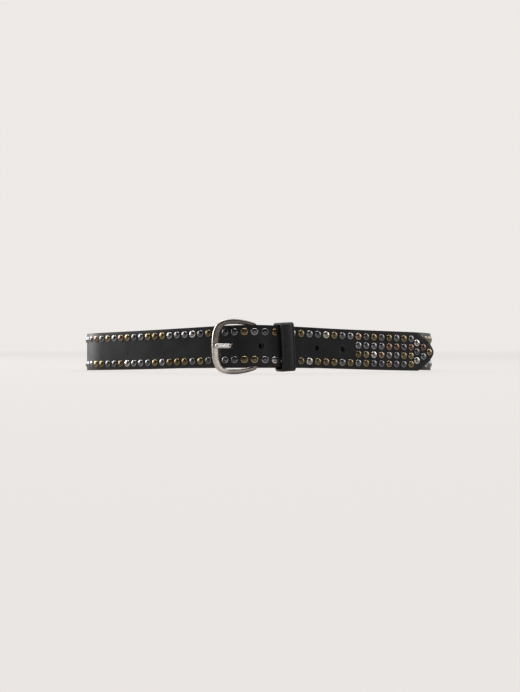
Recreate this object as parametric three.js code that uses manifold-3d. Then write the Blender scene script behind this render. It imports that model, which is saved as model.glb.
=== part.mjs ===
// A studded leather belt, buckled into a closed loop and standing on its edge.
// Millimetres, +Z up, floor at z = 0. The buckle faces -Y and the waist is the open middle of the loop.
// One long strap is folded round the buckle's heel bar, goes once round the loop, passes through the
// buckle and the keeper and ends in a rounded point. The domed studs are set in the leather.
import * as THREE from "three";
import { mergeVertices } from "three/addons/utils/BufferGeometryUtils.js";
import Module from "manifold-3d";

const wasm = await Module();
wasm.setup();

// Leather strap
const STRAP_WIDTH = 35;
const STRAP_THICKNESS = 3;
const TOUCH_GAP = 0.3; // between pieces or layers that lie on each other
const FOLD_WIDTH = 31; // the strap is trimmed narrower where it wraps the heel bar
const FOLD_TRIM_START = 4; // distances from the heel bar between which it widens again
const FOLD_TRIM_END = 15;
const FLAP_LENGTH = 56; // inner end of the fold, measured from the heel bar
const FLAP_STRAIGHT = 3; // the flap leaves the heel bar straight, then closes onto the strap
const FLAP_FLARE = 8;
const FLAP_STEP = 5.6; // facet length of the flap
const FOLD_STEPS = 7; // facets round the heel bar
const BEND_STEP = 8; // facet length where no stud decides it

// Plan of the loop: stretches from the front apex outwards, each with its turn in degrees
const APEX_X = -9;
const FRONT_FLAT = 7;
const RIGHT_SHOULDER = 14;
const RIGHT_RUN = 119;
const RIGHT_SWEEP = 25;
const LEFT_SHOULDER = 18;
const LEFT_RUN = 132.5;
const END_RADIUS = 45;
const REAR_TURN = 50;
const RIGHT_SIDE = [
  { stretch: "flat", length: FRONT_FLAT, turn: 2 },
  { stretch: "shoulder", length: RIGHT_SHOULDER, turn: 20.5 },
  { stretch: "run", length: RIGHT_RUN, turn: 2.5 },
  { stretch: "sweep", length: RIGHT_SWEEP, turn: 4 },
];
const LEFT_SIDE = [
  { stretch: "flat", length: FRONT_FLAT, turn: 2 },
  { stretch: "shoulder", length: LEFT_SHOULDER, turn: 25 },
  { stretch: "run", length: LEFT_RUN, turn: 8 },
];

// Tip end of the strap, measured along the loop from the heel bar
const TIP_RUN = 179;
const TIP_FOLLOW = 118; // it lies on the strap below as far as this, then stands off
const TIP_TURN = 1.5; // degrees that it still bends on its own
const TIP_POINT = 18; // length of the rounded point
const TIP_POWER = 0.58; // how full the point is
const TIP_BLUNT = 0.06; // share of the half width left at the very end
const POINT_OUTLINE = [1, 0.72, 0.5, 0.33, 0.2, 0.1, 0.035, 0]; // shares of the point still to come
const TIP_SAG = 0.9; // how much lower the free end hangs
const CLIMB = 22; // length over which the strap climbs over its buckle end
const CLIMB_END = 6; // the climb ends this far before the heel bar

// Buckle
const RAIL_WIDTH = 4.6;
const FRAME_PLAY = 1.4; // above and below the strap inside the frame
const FRAME_HEIGHT = STRAP_WIDTH + 2 * (RAIL_WIDTH + FRAME_PLAY);
const FRAME_REACH = 33.2; // between the centres of the heel bar and the left bar
const FRAME_THICKNESS = 4;
const HEEL_FROM_APEX = 7;
const BAR_CLEARANCE = 6; // between the strap's face and the left bar's middle
const STRAP_SIT = 0.5; // the strap's mid-line sits this much above the frame's middle
const LIFT_DEPTH = 150; // depth behind the front at which the strap lies on the floor
const LIFT_POWER = 2.3;
// Upper half of the frame's centre line, from the left bar's middle to the heel bar:
// along as a share of the reach, up as a share of the rail's height, wide as a share of the rail's width
const FRAME_OUTLINE = [
  { along: 1.042, up: 0, wide: 1.2 },
  { along: 1.032, up: 0.38, wide: 1.2 },
  { along: 0.998, up: 0.64, wide: 1.17 },
  { along: 0.905, up: 0.875, wide: 1.08 },
  { along: 0.74, up: 0.985, wide: 0.96 },
  { along: 0.5, up: 1.005, wide: 0.92 },
  { along: 0.28, up: 0.965, wide: 0.86 },
  { along: 0.125, up: 0.91, wide: 0.82 },
  { along: 0.03, up: 0.86, wide: 0.8 },
  { along: 0.0, up: 0.78, wide: FRAME_THICKNESS / RAIL_WIDTH },
  { along: 0.0, up: 0.4, wide: FRAME_THICKNESS / RAIL_WIDTH },
];
const FRAME_STATIONS = 36;
const BAR_CHAMFER = 0.28; // share of a bar's side that its chamfer takes

// Prong, which lies along the frame and level with the strap's mid-line
const PRONG_WIDTH = 4;
const PRONG_THICKNESS = 3;
const PRONG_TIP = 1.7; // how far the prong reaches past the left bar's centre
const PRONG_END = 0.6; // share of its section left at the very end
const PRONG_END_LENGTH = 1.2; // length over which it narrows to that
const EYE_WALL = 1.9;
const EYE_HEIGHT = 5.5;
const EYE_SIDES = 12;
const EYE_SLOT_PLAY = 0.6;
const PRONG_DIP = 4.3; // behind the frame's plane before it rises through its hole
const PRONG_RISE = 4; // length over which it rises through the hole
// Bends of the prong at its hole: past the hole's middle as a share of the rise,
// out as a share of the dip behind the frame's plane, then of the rest height before it
const PRONG_DIPS = [
  { past: -0.9, out: 1 },
  { past: -0.28, out: 0.92 },
];
const PRONG_RISES = [
  { past: 0.26, out: 0.8 },
  { past: 0.75, out: 1.02 },
];
const PRONG_SWAY = 0.8; // share of the dip halfway between the eye and the hole

// Punched holes, measured along the tip from the heel bar
const HOLE_RADIUS = 2.4;
const HOLE_SIDES = 10;
const HOLE_PITCH = 25.4;
const FREE_HOLES = 4;
const FIRST_FREE_HOLE = 4.4;
const PRONG_HOLE = -21; // the hole in use, stretched by the prong
const PRONG_HOLE_LENGTH = 5.6;

// Keeper
const KEEPER_AT = 26.1; // from the heel bar
const KEEPER_TILT = 3; // degrees that its top leans towards the buckle
const KEEPER_LENGTH = 12.4;
const KEEPER_WALL = 2;
const KEEPER_CORNER = 3;
const KEEPER_CORNER_STEPS = 2;
const KEEPER_PLAY_HEIGHT = 1.4; // above and below the strap
const KEEPER_PLAY_IN = 0.7;
const KEEPER_PLAY_OUT = 0.7; // over the studs

// Studs
const STUD_PITCH = 8.1;
const STUD_RADIUS = 3.1;
const STUD_CROWN = 1.9; // radius of the flat of the dome
const STUD_HEIGHT = 1.3;
const STUD_SIDES = 10;
const STUD_EDGE = 5.75; // from the strap's edge to a stud's centre
const STUD_SHIFT = -0.8; // a column stands at the heel bar, this far off it
const BARE_UNDER_TIP = 150; // no studs on the strap where the tip covers it
const POINT_ROOM = 3.15; // from the last column to the tip's end at least, in stud pitches
const FIELD_COLUMNS = 8; // the last columns, which are four rows high
const FIELD_ROWS = [-1 / 3, 1 / 3]; // shares of the edge rows' distance from the mid-line
// Studs in the point: along from the last column and up, both as shares of the stud pitch
const POINT_STUDS = [
  { along: 0.8, up: 1.0 },
  { along: 0.8, up: 0.0 },
  { along: 0.8, up: -1.0 },
  { along: 1.72, up: 0.52 },
  { along: 1.72, up: -0.52 },
  { along: 2.56, up: 0.0 },
];

// Hidden posts that hold the fold, as distances from the heel bar
const POSTS = [
  { name: "fold_post_near", at: 15.2 },
  { name: "fold_post_far", at: 46 },
];
const POST_RADIUS = 2;
const POST_HEAD_RADIUS = 3.5;
const POST_HEAD = 1.2;
const POST_CROWN = 0.8; // share of the head's radius left on its face
const POST_SEAT_GAP = 0.6; // under the head, where the strap bends
const POST_SIDES = 10;

const STRAIGHT = 1e-9; // a bend below this is none
const WELD = 1e-4; // points closer than this are one

const DEG = Math.PI / 180;
const LAYER = STRAP_THICKNESS + TOUCH_GAP; // from one strap layer's middle to the next
const HEEL_BAR_RADIUS = (FRAME_THICKNESS / 2) * Math.hypot(1, 1 - 2 * BAR_CHAMFER);
const EYE_RADIUS = HEEL_BAR_RADIUS + TOUCH_GAP; // inside the prong's eye
const FOLD_RADIUS = HEEL_BAR_RADIUS + TOUCH_GAP + STRAP_THICKNESS / 2;
const FRAME_MID = FRAME_HEIGHT / 2;
const BUCKLE_LIFT = FRAME_MID + STRAP_SIT - STRAP_WIDTH / 2;
const LAST_COLUMN = Math.floor((TIP_RUN - STUD_SHIFT) / STUD_PITCH - POINT_ROOM);

const smooth = (t) => {
  const c = Math.min(1, Math.max(0, t));
  return c * c * (3 - 2 * c);
};
const sumTurns = (side) => side.reduce((total, row) => total + row.turn, 0);

// A plan path made of arcs: each has a start, a heading, a length and a curvature
function followArcs(start, arcs) {
  const laid = [];
  let { x, y, heading } = start;
  let from = 0;
  for (const arc of arcs) {
    laid.push({ x, y, heading, from, length: arc.length, bend: (arc.turn * DEG) / arc.length });
    const end = pointOnArc(laid[laid.length - 1], arc.length);
    ({ x, y, heading } = end);
    from += arc.length;
  }
  return { arcs: laid, length: from, end: { x, y, heading } };
}

function pointOnArc(arc, distance) {
  const turned = arc.heading + arc.bend * distance;
  if (Math.abs(arc.bend) < STRAIGHT)
    return {
      x: arc.x + Math.cos(arc.heading) * distance,
      y: arc.y + Math.sin(arc.heading) * distance,
      heading: turned,
    };
  return {
    x: arc.x + (Math.sin(turned) - Math.sin(arc.heading)) / arc.bend,
    y: arc.y - (Math.cos(turned) - Math.cos(arc.heading)) / arc.bend,
    heading: turned,
  };
}

// The closed loop of the strap's middle, from the front apex round by the right
function makeLoop() {
  const apex = { x: APEX_X, y: 0, heading: 0 };
  const endTurn = (side) => ({
    length: (90 - sumTurns(side)) * DEG * END_RADIUS,
    turn: 90 - sumTurns(side),
  });
  const right = [...RIGHT_SIDE, endTurn(RIGHT_SIDE)];
  const left = [...LEFT_SIDE, endTurn(LEFT_SIDE)];
  const rightEnd = followArcs(apex, right).end;
  const leftEnd = followArcs(apex, left).end;
  const halfSpan = (rightEnd.x + leftEnd.x) / 2 - APEX_X;
  const backRadius =
    (halfSpan - END_RADIUS * (1 - Math.cos(REAR_TURN * DEG))) / Math.cos(REAR_TURN * DEG);
  const rear = { length: REAR_TURN * DEG * END_RADIUS, turn: REAR_TURN };
  const backTurn = 180 - 2 * REAR_TURN;
  const level = (missing) => (missing > 0 ? [{ length: missing, turn: 0 }] : []);
  return followArcs(apex, [
    ...right,
    ...level(leftEnd.y - rightEnd.y),
    rear,
    { length: backTurn * DEG * backRadius, turn: backTurn },
    rear,
    ...level(rightEnd.y - leftEnd.y),
    ...left.reverse(),
  ]);
}

const loop = makeLoop();
const HEEL = HEEL_FROM_APEX; // the heel bar's place along the loop
const TURN_END = loop.length + HEEL; // the same place after one round
const tipLeaves = TURN_END + TIP_FOLLOW;
const tipEnds = TURN_END + TIP_RUN;

// Stud columns along the strap, counted from the heel bar backwards and forwards
const columnAt = (column) => TURN_END + STUD_SHIFT + STUD_PITCH * column;
const firstColumn = Math.ceil((HEEL + BARE_UNDER_TIP - TURN_END - STUD_SHIFT) / STUD_PITCH);

// A point of the loop, moved outwards by offset
function onLoop(s, offset) {
  const t = ((s % loop.length) + loop.length) % loop.length;
  const arc = loop.arcs.findLast((a) => a.from <= t);
  const p = pointOnArc(arc, t - arc.from);
  return {
    x: p.x + Math.sin(p.heading) * offset,
    y: p.y - Math.cos(p.heading) * offset,
    heading: p.heading,
  };
}

// The free end of the tip bends a little from where it leaves the strap below, and its point is flat
const flatFrom = columnAt(LAST_COLUMN - 0.5);
const tipPath = followArcs(onLoop(tipLeaves, LAYER), [
  { length: flatFrom - tipLeaves, turn: TIP_TURN },
  { length: tipEnds - flatFrom, turn: 0 },
]);

// Middle of the strap from the heel bar, once round and on to the tip
function onStrap(s) {
  if (s > flatFrom) return pointOnArc(tipPath.arcs[1], s - flatFrom);
  if (s > tipLeaves) return pointOnArc(tipPath.arcs[0], s - tipLeaves);
  const climbed = smooth((s - (TURN_END - CLIMB_END - CLIMB)) / CLIMB);
  return onLoop(s, LAYER * climbed);
}

function strapMid(p, s) {
  const lift = BUCKLE_LIFT * Math.max(0, 1 - p.y / LIFT_DEPTH) ** LIFT_POWER;
  const sag = TIP_SAG * smooth((s - TURN_END) / TIP_RUN);
  return lift - sag + STRAP_WIDTH / 2;
}

function foldHalfWidth(fromHeel) {
  const widened = smooth((fromHeel - FOLD_TRIM_START) / (FOLD_TRIM_END - FOLD_TRIM_START));
  return (FOLD_WIDTH + (STRAP_WIDTH - FOLD_WIDTH) * widened) / 2;
}

const heelOnLoop = onLoop(HEEL, -FOLD_RADIUS);
const heel = new THREE.Vector3(heelOnLoop.x, heelOnLoop.y, FRAME_MID);

// Frame of reference on the strap's outer half: middle, outward normal and running direction
function strapFrame(s) {
  const reach = STRAP_THICKNESS;
  const before = onStrap(s - reach);
  const after = onStrap(s + reach);
  const here = onStrap(s);
  const along = new THREE.Vector3(after.x - before.x, after.y - before.y, 0).normalize();
  const out = new THREE.Vector3(along.y, -along.x, 0);
  return { middle: new THREE.Vector3(here.x, here.y, strapMid(here, s)), out, along };
}

// Closed mesh through rings of points, capped at both ends or joined round
function skin(rings, joined) {
  const sides = rings[0].length;
  const positions = rings.flat().flatMap((p) => [p.x, p.y, p.z]);
  const faces = [];
  const last = joined ? rings.length : rings.length - 1;
  for (let r = 0; r < last; r++)
    for (let k = 0; k < sides; k++) {
      const next = (r + 1) % rings.length;
      const a = r * sides + k;
      const b = r * sides + ((k + 1) % sides);
      const c = next * sides + ((k + 1) % sides);
      const d = next * sides + k;
      faces.push(a, b, c, a, c, d);
    }
  if (!joined)
    for (let k = 1; k < sides - 1; k++) {
      const end = (rings.length - 1) * sides;
      faces.push(0, k + 1, k);
      faces.push(end, end + k, end + k + 1);
    }
  return new THREE.BufferGeometry()
    .setAttribute("position", new THREE.Float32BufferAttribute(positions, 3))
    .setIndex(faces);
}

function toSolid(geometry, matrix = new THREE.Matrix4()) {
  const bare = new THREE.BufferGeometry().setAttribute("position", geometry.getAttribute("position").clone());
  if (geometry.index) bare.setIndex(geometry.index.clone());
  const merged = mergeVertices(bare.applyMatrix4(matrix), WELD);
  return new wasm.Manifold(
    new wasm.Mesh({
      numProp: 3,
      vertProperties: new Float32Array(merged.getAttribute("position").array),
      triVerts: new Uint32Array(merged.index.array),
    }),
  );
}

function toGeometry(solid) {
  const mesh = solid.getMesh();
  const geometry = new THREE.BufferGeometry()
    .setAttribute("position", new THREE.Float32BufferAttribute(mesh.vertProperties, 3))
    .setIndex(Array.from(mesh.triVerts));
  geometry.computeVertexNormals();
  return geometry;
}

// Matrix that lays a shape's x along u, its y along v and its z along w
const placed = (origin, u, v, w) => new THREE.Matrix4().makeBasis(u, v, w).setPosition(origin);
const UP = new THREE.Vector3(0, 0, 1);

// Stations of the strap: place, running direction, height of the mid-line and half width
function flapStations() {
  const rows = [];
  const steps = Math.ceil(FLAP_LENGTH / FLAP_STEP);
  for (let i = steps; i > 0; i--) {
    const fromHeel = (FLAP_LENGTH * i) / steps;
    const closed = smooth((fromHeel - FLAP_STRAIGHT) / FLAP_FLARE);
    const spread = 2 * FOLD_RADIUS + (LAYER - 2 * FOLD_RADIUS) * closed;
    rows.push({ ...onLoop(HEEL + fromHeel, -spread), s: HEEL, half: foldHalfWidth(fromHeel) });
  }
  return rows;
}

function foldStations() {
  const rows = [];
  const heading = heelOnLoop.heading;
  for (let i = 0; i <= FOLD_STEPS; i++) {
    const angle = heading + Math.PI / 2 + (Math.PI * i) / FOLD_STEPS;
    rows.push({
      x: heel.x + FOLD_RADIUS * Math.cos(angle),
      y: heel.y + FOLD_RADIUS * Math.sin(angle),
      s: HEEL,
      half: foldHalfWidth(0),
    });
  }
  return rows;
}

// Each column of studs has a flat facet, and the last column and the point share one
function bodyStations() {
  const rows = [];
  const add = (s, half) => rows.push({ ...onStrap(s), s, half });
  const firstEdge = columnAt(firstColumn - 0.5);
  const bareSteps = Math.ceil((firstEdge - HEEL) / BEND_STEP);
  for (let i = 1; i < bareSteps; i++) {
    const fromHeel = ((firstEdge - HEEL) * i) / bareSteps;
    add(HEEL + fromHeel, foldHalfWidth(fromHeel));
  }
  for (let c = firstColumn; c < LAST_COLUMN; c++) add(columnAt(c - 0.5), STRAP_WIDTH / 2);
  return rows;
}

function pointStations() {
  const rows = [{ ...onStrap(flatFrom), s: flatFrom, half: STRAP_WIDTH / 2 }];
  for (const left of POINT_OUTLINE) {
    const s = tipEnds - TIP_POINT * left;
    const half = (STRAP_WIDTH / 2) * Math.max(TIP_BLUNT, left ** TIP_POWER);
    if (s > flatFrom + TOUCH_GAP) rows.push({ ...onStrap(s), s, half });
  }
  return rows;
}

// Heights of the studs in one column of the strap
function studRows(column) {
  const edgeRow = STRAP_WIDTH / 2 - STUD_EDGE;
  const rows = [edgeRow, -edgeRow];
  if (column > LAST_COLUMN - FIELD_COLUMNS) rows.push(...FIELD_ROWS.map((share) => share * edgeRow));
  return rows;
}

// The outer face of one flat stretch, with its studs standing on it
function studdedFace(stations, studs) {
  const origin = stations[0].low.clone().setZ(0);
  const along = stations[stations.length - 1].low.clone().setZ(0).sub(origin).normalize();
  const out = new THREE.Vector3(along.y, -along.x, 0);
  const spot = (u, up, rise) =>
    origin.clone().addScaledVector(along, u).addScaledVector(out, rise).addScaledVector(UP, up);
  const edge = [...stations.map((row) => row.low), ...stations.map((row) => row.high).reverse()];
  const contour = edge.map((p) => new THREE.Vector2(p.clone().setZ(0).distanceTo(origin), p.z));
  const ring = (stud, radius) =>
    Array.from({ length: STUD_SIDES }, (_, k) => {
      const angle = (2 * Math.PI * (k + 0.5)) / STUD_SIDES;
      return new THREE.Vector2(stud.u + radius * Math.cos(angle), stud.up + radius * Math.sin(angle));
    });
  const bases = studs.map((stud) => ring(stud, STUD_RADIUS));
  const flat = [...edge, ...bases.flat().map((p) => spot(p.x, p.y, 0))];
  const triangles = THREE.ShapeUtils.triangulateShape(contour, bases).map((t) => t.map((i) => flat[i]));
  studs.forEach((stud, i) => {
    const base = bases[i].map((p) => spot(p.x, p.y, 0));
    const crown = ring(stud, STUD_CROWN).map((p) => spot(p.x, p.y, STUD_HEIGHT));
    for (let k = 0; k < STUD_SIDES; k++) {
      const next = (k + 1) % STUD_SIDES;
      triangles.push([base[k], base[next], crown[next]], [base[k], crown[next], crown[k]]);
      if (k > 0 && next > 0) triangles.push([crown[0], crown[k], crown[next]]);
    }
  });
  return triangles;
}

function measureStations(rows) {
  return rows.map((row, i) => {
    const before = rows[Math.max(0, i - 1)];
    const after = rows[Math.min(rows.length - 1, i + 1)];
    const run = Math.hypot(after.x - before.x, after.y - before.y);
    const outX = ((after.y - before.y) / run) * (STRAP_THICKNESS / 2);
    const outY = (-(after.x - before.x) / run) * (STRAP_THICKNESS / 2);
    const mid = strapMid(row, row.s);
    return {
      mid,
      low: new THREE.Vector3(row.x + outX, row.y + outY, mid - row.half),
      innerLow: new THREE.Vector3(row.x - outX, row.y - outY, mid - row.half),
      innerHigh: new THREE.Vector3(row.x - outX, row.y - outY, mid + row.half),
      high: new THREE.Vector3(row.x + outX, row.y + outY, mid + row.half),
    };
  });
}

function makeLeather() {
  const inner = [...flapStations(), ...foldStations()];
  const body = bodyStations();
  const point = pointStations();
  const rows = measureStations([...inner, ...body, ...point]);
  const corners = rows.map(({ low, innerLow, innerHigh, high }) => [low, innerLow, innerHigh, high]);
  const triangles = [];
  const quad = (a, b, c, d) => triangles.push([a, b, c], [a, c, d]);
  for (let i = 0; i + 1 < rows.length; i++)
    for (let k = 0; k < 3; k++)
      quad(corners[i][k], corners[i][k + 1], corners[i + 1][k + 1], corners[i + 1][k]);
  const end = corners[corners.length - 1];
  quad(corners[0][0], corners[0][3], corners[0][2], corners[0][1]);
  quad(...end);
  const firstStudded = inner.length + body.length - (LAST_COLUMN - firstColumn);
  const lastPanel = inner.length + body.length;
  for (let i = 0; i < lastPanel; i++) {
    const [a, b] = [rows[i], rows[i + 1]];
    const middle = a.low.clone().sub(b.low).setZ(0).length() / 2;
    const column = firstColumn + i - firstStudded;
    const ups = i < firstStudded ? [] : studRows(column);
    const mid = (a.mid + b.mid) / 2;
    triangles.push(...studdedFace([a, b], ups.map((up) => ({ u: middle, up: mid + up }))));
  }
  const pointRows = rows.slice(lastPanel);
  const pointMid = pointRows[0].mid;
  const lastColumn = studRows(LAST_COLUMN).map((up) => ({ u: STUD_PITCH / 2, up: pointMid + up }));
  const pointStuds = POINT_STUDS.map(({ along, up }) => ({
    u: (along + 0.5) * STUD_PITCH,
    up: pointMid + up * STUD_PITCH,
  }));
  triangles.push(...studdedFace(pointRows, [...lastColumn, ...pointStuds]));
  const geometry = new THREE.BufferGeometry().setFromPoints(triangles.flat());
  return toSolid(geometry);
}

// Cutting tool for a punched hole, from inner behind the strap's middle to well in front
function holeTool(fromHeel, length, inner) {
  const { middle, out, along } = strapFrame(TURN_END + fromHeel);
  const depth = inner + STRAP_THICKNESS;
  const side = length / 2 - HOLE_RADIUS;
  const outline = new THREE.Shape();
  outline.absarc(side, 0, HOLE_RADIUS, -Math.PI / 2, Math.PI / 2);
  outline.absarc(-side, 0, HOLE_RADIUS, Math.PI / 2, (3 * Math.PI) / 2);
  const tool = new THREE.ExtrudeGeometry(outline, {
    depth,
    bevelEnabled: false,
    curveSegments: HOLE_SIDES / 2,
  });
  const start = middle.clone().addScaledVector(out, -inner);
  return toSolid(tool, placed(start, along, UP, out));
}

function postFrame(at) {
  const p = onLoop(HEEL + at, 0);
  const out = new THREE.Vector3(Math.sin(p.heading), -Math.cos(p.heading), 0);
  const middle = new THREE.Vector3(p.x, p.y, strapMid(p, HEEL));
  return { out, middle, along: new THREE.Vector3(-out.y, out.x, 0) };
}

const flapFace = LAYER + STRAP_THICKNESS / 2; // the flap's inner face, behind the strap's middle

function postTool(at) {
  const { out, middle, along } = postFrame(at);
  const length = flapFace + STRAP_THICKNESS + TOUCH_GAP / 2;
  const hole = new THREE.CylinderGeometry(
    POST_RADIUS + TOUCH_GAP,
    POST_RADIUS + TOUCH_GAP,
    length,
    POST_SIDES,
  );
  const outer = STRAP_THICKNESS / 2 + TOUCH_GAP / 2;
  const centre = middle.clone().addScaledVector(out, outer - length / 2);
  return toSolid(hole, placed(centre, UP, out, along));
}

// The prong's eye sits in a slot in the fold
function eyeSlotTool() {
  const reach = EYE_RADIUS + EYE_WALL + EYE_SLOT_PLAY;
  const foldReach = FOLD_RADIUS + STRAP_THICKNESS / 2;
  const front = STRAP_THICKNESS / 2 + TOUCH_GAP / 2;
  const back = 2 * FOLD_RADIUS + STRAP_THICKNESS;
  const height = EYE_HEIGHT + 2 * EYE_SLOT_PLAY;
  const box = new THREE.BoxGeometry(foldReach + TOUCH_GAP + reach, front + back, height);
  const p = onLoop(HEEL, 0);
  const along = new THREE.Vector3(Math.cos(p.heading), Math.sin(p.heading), 0);
  const inwards = new THREE.Vector3(-along.y, along.x, 0);
  const centre = new THREE.Vector3(p.x, p.y, FRAME_MID + STRAP_SIT)
    .addScaledVector(along, (reach - foldReach - TOUCH_GAP) / 2)
    .addScaledVector(inwards, (back - front) / 2);
  return toSolid(box, placed(centre, along, inwards, UP));
}

function makeStrap() {
  let strap = makeLeather();
  strap = strap.subtract(holeTool(PRONG_HOLE, PRONG_HOLE_LENGTH, STRAP_THICKNESS));
  const outerLayer = (STRAP_THICKNESS + TOUCH_GAP) / 2;
  for (let i = 0; i < FREE_HOLES; i++)
    strap = strap.subtract(holeTool(FIRST_FREE_HOLE + HOLE_PITCH * i, 2 * HOLE_RADIUS, outerLayer));
  for (const { at } of POSTS) strap = strap.subtract(postTool(at));
  return toGeometry(strap.subtract(eyeSlotTool()));
}

// The frame's plane: across from the heel bar to the left bar, and out towards the front
const leftPass = strapFrame(TURN_END - FRAME_REACH);
const leftBar = leftPass.middle
  .clone()
  .addScaledVector(leftPass.out, STRAP_THICKNESS / 2 + BAR_CLEARANCE + FRAME_THICKNESS / 2)
  .setZ(FRAME_MID);
const frameAcross = leftBar.clone().sub(heel).normalize();
const frameOut = new THREE.Vector3(-frameAcross.y, frameAcross.x, 0);
if (frameOut.y > 0) frameOut.negate();

function inFrame(along, out, up) {
  return heel
    .clone()
    .addScaledVector(frameAcross, along)
    .addScaledVector(frameOut, out)
    .addScaledVector(UP, up);
}

// Section of a bar with chamfered edges
function chamferedBar(width, thickness) {
  const [a, b] = [width / 2, thickness / 2];
  const cut = 1 - 2 * BAR_CHAMFER;
  const quarter = [
    [a, b * cut],
    [a * cut, b],
  ];
  const half = [...quarter, ...quarter.map(([x, y]) => [-x, y]).reverse()];
  return [...half, ...half.map(([x, y]) => [-x, -y])];
}

function makeFrame() {
  const railHeight = (FRAME_HEIGHT - RAIL_WIDTH) / 2;
  const upper = FRAME_OUTLINE.map((row) => ({
    point: new THREE.Vector3(row.along * FRAME_REACH, row.up * railHeight, row.wide * RAIL_WIDTH),
  }));
  const lower = upper.slice(1).reverse();
  const points = [
    ...upper.map(({ point }) => point),
    ...lower.map(({ point }) => new THREE.Vector3(point.x, -point.y, point.z)),
  ];
  const line = new THREE.CatmullRomCurve3(points, true, "centripetal");
  const rings = [];
  for (let i = 0; i < FRAME_STATIONS; i++) {
    const at = line.getPointAt(i / FRAME_STATIONS);
    const way = line.getTangentAt(i / FRAME_STATIONS).setZ(0).normalize();
    const section = chamferedBar(at.z, FRAME_THICKNESS);
    rings.push(section.map(([a, b]) => inFrame(at.x + way.y * a, b, at.y - way.x * a)));
  }
  return skin(rings, true);
}

// Prong's centre line: from its eye, dipping behind the strap, up through its hole and over the left bar
function prongLine() {
  const rest = FRAME_THICKNESS / 2 + TOUCH_GAP + PRONG_THICKNESS / 2;
  const fromHeel = strapFrame(TURN_END + PRONG_HOLE).middle.sub(heel);
  const hole = fromHeel.dot(frameAcross);
  const eyeEdge = EYE_RADIUS + EYE_WALL / 2;
  const tip = FRAME_REACH + PRONG_TIP;
  return [
    [eyeEdge, 0],
    [hole / 2, -PRONG_DIP * PRONG_SWAY],
    ...PRONG_DIPS.map(({ past, out }) => [hole + PRONG_RISE * past, -PRONG_DIP * out]),
    [hole, fromHeel.dot(frameOut)],
    ...PRONG_RISES.map(({ past, out }) => [hole + PRONG_RISE * past, rest * out]),
    [FRAME_REACH, rest],
    [tip - PRONG_END_LENGTH, rest],
    [tip, rest],
  ];
}

function makeProng() {
  const line = prongLine();
  const rings = line.map(([along, out], i) => {
    const [alongBefore, outBefore] = line[Math.max(0, i - 1)];
    const [alongAfter, outAfter] = line[Math.min(line.length - 1, i + 1)];
    const way = new THREE.Vector2(alongAfter - alongBefore, outAfter - outBefore).normalize();
    const shrink = i === line.length - 1 ? PRONG_END : 1;
    const section = chamferedBar(PRONG_WIDTH * shrink, PRONG_THICKNESS * shrink).reverse();
    return section.map(([up, t]) => inFrame(along - way.y * t, out + way.x * t, up + STRAP_SIT));
  });
  const outer = EYE_RADIUS + EYE_WALL;
  const half = EYE_HEIGHT / 2;
  const profile = [
    new THREE.Vector2(EYE_RADIUS, -half),
    new THREE.Vector2(outer, -half),
    new THREE.Vector2(outer, half),
    new THREE.Vector2(EYE_RADIUS, half),
    new THREE.Vector2(EYE_RADIUS, -half),
  ];
  const eye = new THREE.LatheGeometry(profile, EYE_SIDES);
  const seat = inFrame(0, 0, STRAP_SIT);
  const upright = placed(seat, new THREE.Vector3(1, 0, 0), UP, new THREE.Vector3(0, -1, 0));
  return toGeometry(toSolid(skin(rings, false)).add(toSolid(eye, upright)));
}

function roundedRectangle(width, height, corner, centreX) {
  const x = centreX - width / 2;
  const y = -height / 2;
  const shape = new THREE.Shape();
  shape.moveTo(x + corner, y);
  shape.lineTo(x + width - corner, y);
  shape.absarc(x + width - corner, y + corner, corner, -Math.PI / 2, 0);
  shape.lineTo(x + width, y + height - corner);
  shape.absarc(x + width - corner, y + height - corner, corner, 0, Math.PI / 2);
  shape.lineTo(x + corner, y + height);
  shape.absarc(x + corner, y + height - corner, corner, Math.PI / 2, Math.PI);
  shape.lineTo(x, y + corner);
  shape.absarc(x + corner, y + corner, corner, Math.PI, (3 * Math.PI) / 2);
  return shape;
}

// The keeper goes round the tip, the strap and the flap, and clears the studs in front
function makeKeeper() {
  const innerFace = -flapFace - KEEPER_PLAY_IN;
  const outerFace = LAYER + STRAP_THICKNESS / 2 + STUD_HEIGHT + KEEPER_PLAY_OUT;
  const width = outerFace - innerFace;
  const height = STRAP_WIDTH + 2 * KEEPER_PLAY_HEIGHT;
  const centre = (outerFace + innerFace) / 2;
  const shape = roundedRectangle(
    width + 2 * KEEPER_WALL,
    height + 2 * KEEPER_WALL,
    KEEPER_CORNER,
    centre,
  );
  shape.holes.push(roundedRectangle(width, height, KEEPER_CORNER - KEEPER_WALL, centre));
  const ring = new THREE.ExtrudeGeometry(shape, {
    depth: KEEPER_LENGTH,
    bevelEnabled: false,
    curveSegments: KEEPER_CORNER_STEPS,
  });
  const { out, middle } = postFrame(KEEPER_AT);
  const up = UP.clone().applyAxisAngle(out, KEEPER_TILT * DEG);
  const across = out.clone().cross(up);
  const start = middle.clone().addScaledVector(across, -KEEPER_LENGTH / 2);
  return toGeometry(toSolid(ring, placed(start, out, up, across)));
}

// A post goes through the flap and the strap, with its head inside and its end flush outside
function makePost(at) {
  const { out, middle, along } = postFrame(at);
  const end = STRAP_THICKNESS / 2;
  const seat = -flapFace - POST_SEAT_GAP;
  const profile = [
    new THREE.Vector2(0, seat - POST_HEAD),
    new THREE.Vector2(POST_HEAD_RADIUS * POST_CROWN, seat - POST_HEAD),
    new THREE.Vector2(POST_HEAD_RADIUS, seat - POST_HEAD / 2),
    new THREE.Vector2(POST_HEAD_RADIUS, seat),
    new THREE.Vector2(POST_RADIUS, seat),
    new THREE.Vector2(POST_RADIUS, end),
    new THREE.Vector2(0, end),
  ];
  const post = new THREE.LatheGeometry(profile, POST_SIDES);
  return toGeometry(toSolid(post, placed(middle, UP, out, along)));
}

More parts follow.
